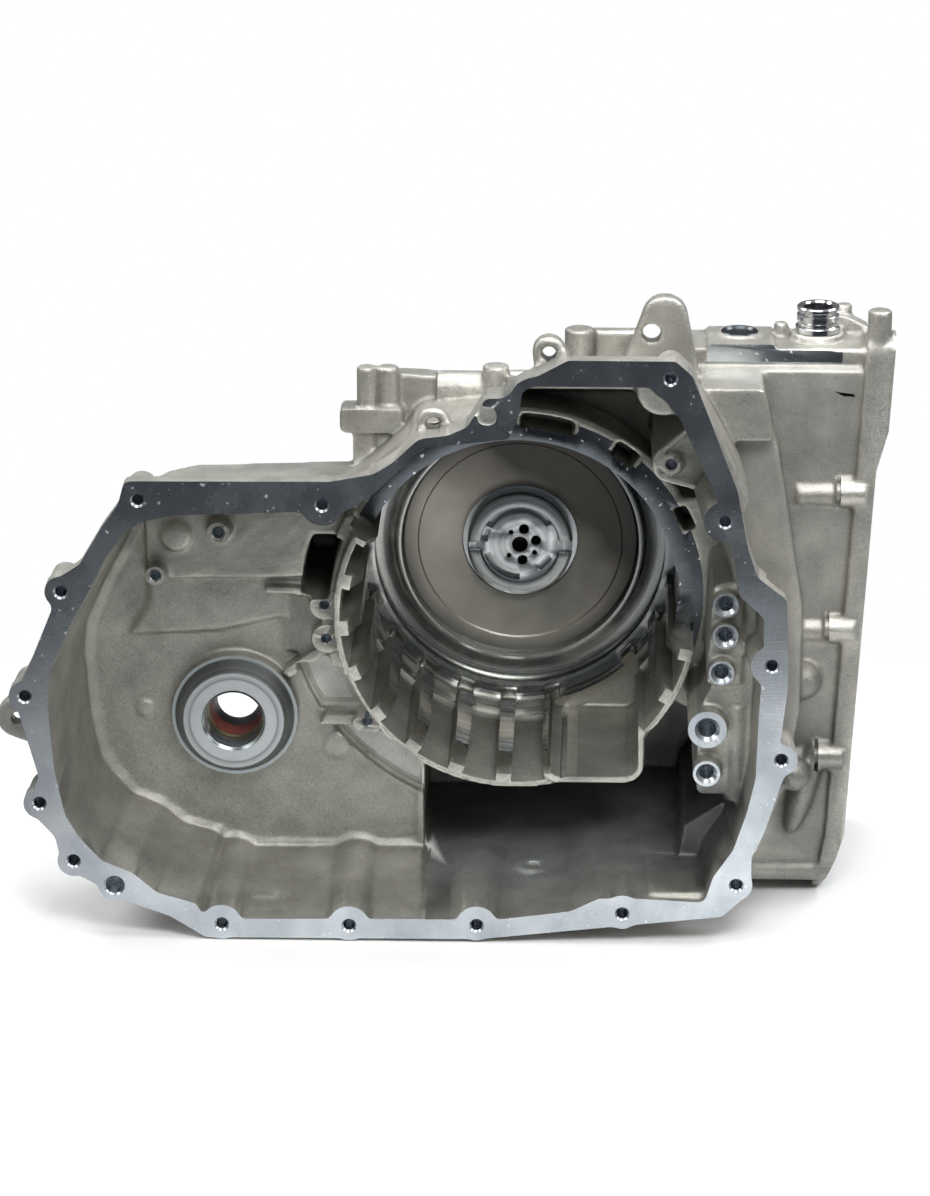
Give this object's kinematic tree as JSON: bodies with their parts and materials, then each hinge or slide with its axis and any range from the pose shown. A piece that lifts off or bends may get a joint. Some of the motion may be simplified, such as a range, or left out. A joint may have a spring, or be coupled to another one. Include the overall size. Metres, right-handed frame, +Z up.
{
  "type": "gearbox housing",
  "caption": "Cast aluminium transaxle case, open at its mating flange, with clutch barrel, hub, differential bore, sump and side chamber.",
  "frame": {"origin": "on the clutch barrel's axis, in the plane of the mating flange face", "axes": "+X to the side chamber, +Y into the case from the flange face, +Z up"},
  "size_m": [0.5502, 0.235, 0.395],
  "materials": {
    "cast_metal": "as cast, machined on the joint faces",
    "seal_steel": "yellow passivated",
    "seal_rubber": "matt",
    "seal_lip": "matt",
    "spring_steel": "plain",
    "bright_steel": "polished"
  },
  "bodies": {
    "root": {"case": "cast_metal", "axle_seal_case": "seal_steel", "axle_seal_body": "seal_rubber", "axle_seal_lip": "seal_lip", "axle_seal_spring": "spring_steel", "line_fitting": "bright_steel", "cup_plug": "spring_steel"}
  },
  "joints": []
}
